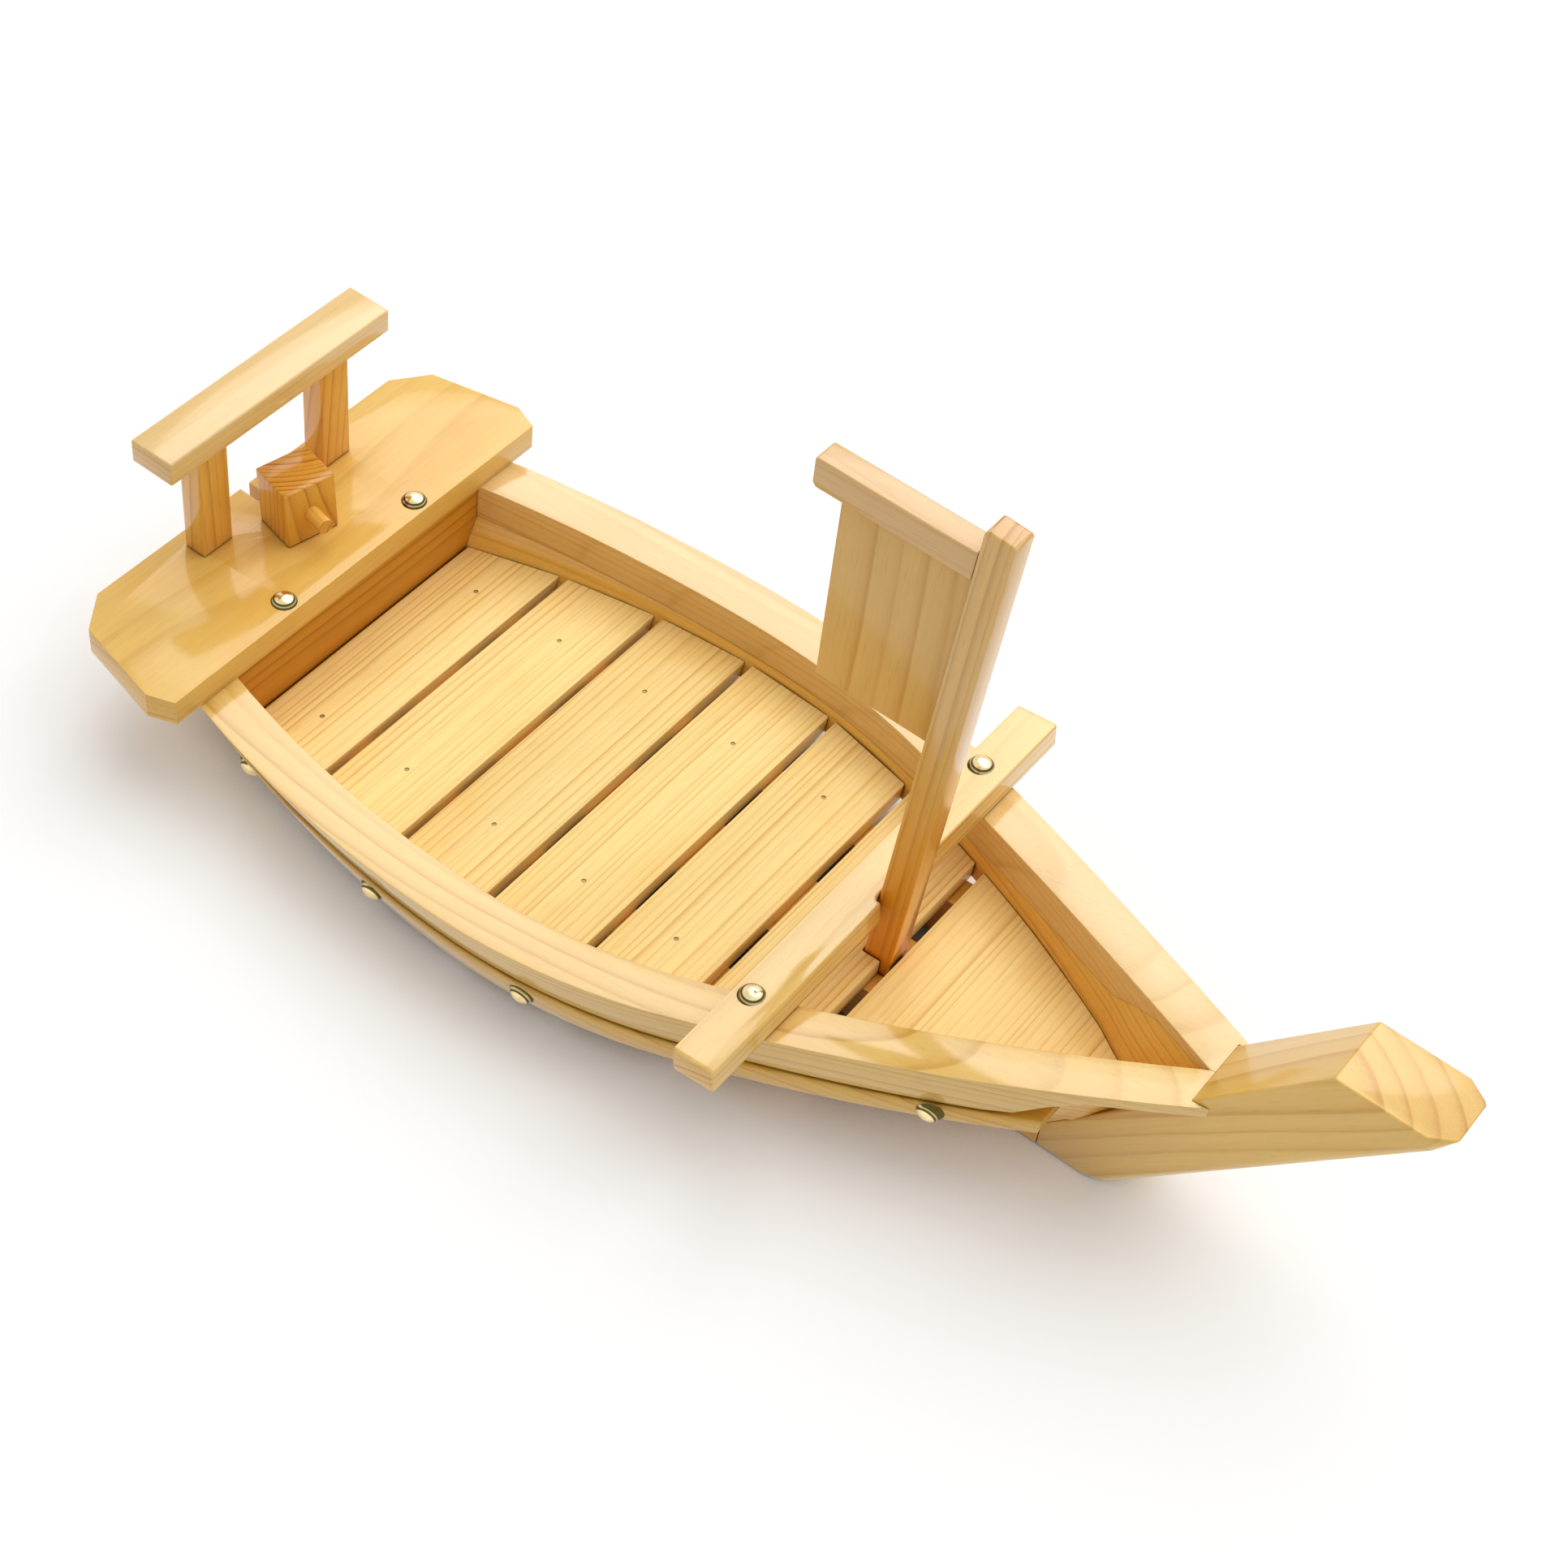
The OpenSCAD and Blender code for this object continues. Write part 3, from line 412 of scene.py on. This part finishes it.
# Beam and stern
board("crossbeam", rounded(2.0, segments=5), (0.03, 1, 0.02), (75, 0, -40),
      rings=3.6, warp=6, contrast=1.0, palette=BEAM, seed=33.6)
board("stern_board", rounded(0.9), Y, (-190, 0, -90),
      rings=3.8, warp=9, contrast=0.6, palette=BOARD, seed=35.9, coat=0.6, stain=0.7)
board("stern_rail", rounded(0.9), Y, (-236, 0, -20), rings=3.6, warp=4, contrast=0.4, palette=PORT_SHEENED, seed=38.2)

# Mast and sail
MAST_AXIS = (0.0602, 0, 0.9982)
# The mast and sail board deepen towards their foot: painted warm light bounced up from the boat
board("mast", rounded(1.0), MAST_AXIS, (130, 8, 100),
      rings=3.3, warp=3, contrast=0.9, palette=PALE, seed=40.5, foot=(60, 150))
board("sail_board", rounded(0.4), (0.02, 0, 1), (-25, 60, 0),
      rings=6.5, warp=8, contrast=0.8, palette=PALE, seed=42.8, coat=0.5, foot=(40, 160))
board("yard", rounded(1.2, segments=4), (1, 0, 0.03), (0, 40, 150),
      rings=3.4, warp=5, contrast=0.55, palette=YARD, seed=45.1)

# Rudder
board("rudder_head", rounded(0.5), Z, (-267, 32, 0),
      rings=2.4, warp=1.5, contrast=0.9, palette=HEAD, seed=47.4, coat=0.6)
board("tiller", rounded(0.5), (0.976, -0.22, 0), (-210, 6, 55), rings=1.8, warp=1, contrast=0.6, seed=49.7)
board("rudder_stock", rounded(0.3), Z, (-222, 8, 0), seed=52.0)
board("rudder_blade", rounded(0.6), Z, (-260, 20, 0), seed=54.3)

# Nails and brads on level faces
TOP_NAIL = brass("top_nail_brass", NAIL_LIGHT, NAIL_DARK, NAIL_ROUGH, Z)
dress("beam_nails", TOP_NAIL, **NAIL_EDGE)
dress("stern_nails", TOP_NAIL, **NAIL_EDGE)
dress("deck_brads", brass("brad_brass", BRAD_LIGHT, BRAD_DARK, BRAD_ROUGH), **rounded(0.2, segments=2, **CURVED))


# Floor, light and camera

FLOOR_HALF, FLOOR_DROP = 4.0, 0.0003
FLOOR_REACH = 50 * MM
# Painted shade on the floor near the boat: colour and glow ramped over ambient occlusion
FLOOR_SHADE, FLOOR_LIFT = [(0.06, 0.12), (0.26, 0.86)], [(0.12, 0.0), (0.40, 1.0)]
LIFT_FOR_CAMERA, LIFT_FOR_GLOSS = 0.14, 0.35
SKY = [(0.0, 0.36), (0.40, 0.48), (1.0, 0.68)]


def floor():
    """A white floor with painted shade that darkens it close to the boat. For the camera and for reflections it
    glows a little.
    """
    mesh = bpy.data.meshes.new("floor")
    corners = [(x * FLOOR_HALF, y * FLOOR_HALF, 0) for x, y in ((-1, -1), (1, -1), (1, 1), (-1, 1))]
    mesh.from_pydata(corners, [], [(0, 1, 2, 3)])
    piece = bpy.data.objects.new("floor", mesh)
    piece.location.z = -FLOOR_DROP
    scene.collection.objects.link(piece)
    material, t = new_material("floor")
    path = t.node("ShaderNodeLightPath").outputs
    seen = t.math("MULTIPLY_ADD", path["Is Camera Ray"], LIFT_FOR_CAMERA,
                  t.math("MULTIPLY", path["Is Glossy Ray"], LIFT_FOR_GLOSS))
    # Painted shade: ambient occlusion darkens the floor close to the boat
    open_sky = t.node("ShaderNodeAmbientOcclusion", {"Distance": FLOOR_REACH}, samples=AO_SAMPLES).outputs["AO"]
    white = t.node("ShaderNodeBsdfDiffuse", {"Color": t.ramp(open_sky, FLOOR_SHADE)})
    lift = t.node("ShaderNodeEmission", {"Color": t.ramp(open_sky, FLOOR_LIFT), "Strength": seen})
    both = t.node("ShaderNodeAddShader", {0: white.outputs[0], 1: lift.outputs[0]})
    t.put(t.node("ShaderNodeOutputMaterial").inputs["Surface"], both.outputs[0])
    mesh.materials.append(material)


def studio():
    """White for the camera and for reflections, and for all other rays a sky that dims towards the horizon."""
    world = bpy.data.worlds.new("studio")
    world.use_nodes = True
    world.node_tree.nodes.clear()
    t = Tree(world.node_tree)
    rise = t.node("ShaderNodeSeparateXYZ", {0: t.node("ShaderNodeTexCoord").outputs["Generated"]}).outputs["Z"]
    light = t.node("ShaderNodeBackground", {"Color": t.ramp(rise, SKY), "Strength": 1.0})
    white = t.node("ShaderNodeBackground", {"Color": (1, 1, 1, 1), "Strength": 1.0})
    path = t.node("ShaderNodeLightPath").outputs
    seen = t.math("MAXIMUM", path["Is Camera Ray"], path["Is Glossy Ray"])
    both = t.node("ShaderNodeMixShader", {0: seen, 1: light.outputs[0], 2: white.outputs[0]})
    t.put(t.node("ShaderNodeOutputWorld").inputs["Surface"], both.outputs[0])
    scene.world = world


def lamp(name, energy, angle, direction, diffuse=True):
    """A far lamp, as wide as angle in degrees. Without diffuse it shows in the lacquer's sheen alone."""
    data = bpy.data.lights.new(name, "SUN")
    data.energy = energy
    data.angle = math.radians(angle)
    piece = bpy.data.objects.new(name, data)
    piece.rotation_euler = Vector(direction).to_track_quat("-Z", "Y").to_euler()
    piece.visible_diffuse = diffuse
    scene.collection.objects.link(piece)


floor()
studio()
lamp("key", energy=1.8, angle=70, direction=(-0.04, -0.49, -0.87))
lamp("card", energy=0.88, angle=40, direction=(0.333, -0.555, -0.762), diffuse=False)
scene.view_settings.view_transform = "Standard"

AZIMUTH, ELEVATION, ROLL = math.radians(30.930), math.radians(49.669), math.radians(8.426)
FOCAL_PX, IMAGE_PX, SENSOR_MM = 3694.19, 1932, 36
CAMERA_PLACE = (0.3305, -0.5565, 0.8390)
back = Vector((
    math.sin(AZIMUTH) * math.cos(ELEVATION), -math.cos(AZIMUTH) * math.cos(ELEVATION), math.sin(ELEVATION),
))
right = Vector((math.cos(AZIMUTH), math.sin(AZIMUTH), 0))
up = back.cross(right)
cam_x = right * math.cos(ROLL) + up * math.sin(ROLL)
cam_y = up * math.cos(ROLL) - right * math.sin(ROLL)
camera = bpy.data.objects.new("camera", bpy.data.cameras.new("camera"))
camera.data.sensor_width = SENSOR_MM
camera.data.lens = SENSOR_MM * FOCAL_PX / IMAGE_PX
camera.data.clip_start, camera.data.clip_end = 0.05, 20
camera.matrix_world = Matrix.Translation(CAMERA_PLACE) @ Matrix((cam_x, cam_y, back)).transposed().to_4x4()
scene.collection.objects.link(camera)
scene.camera = camera
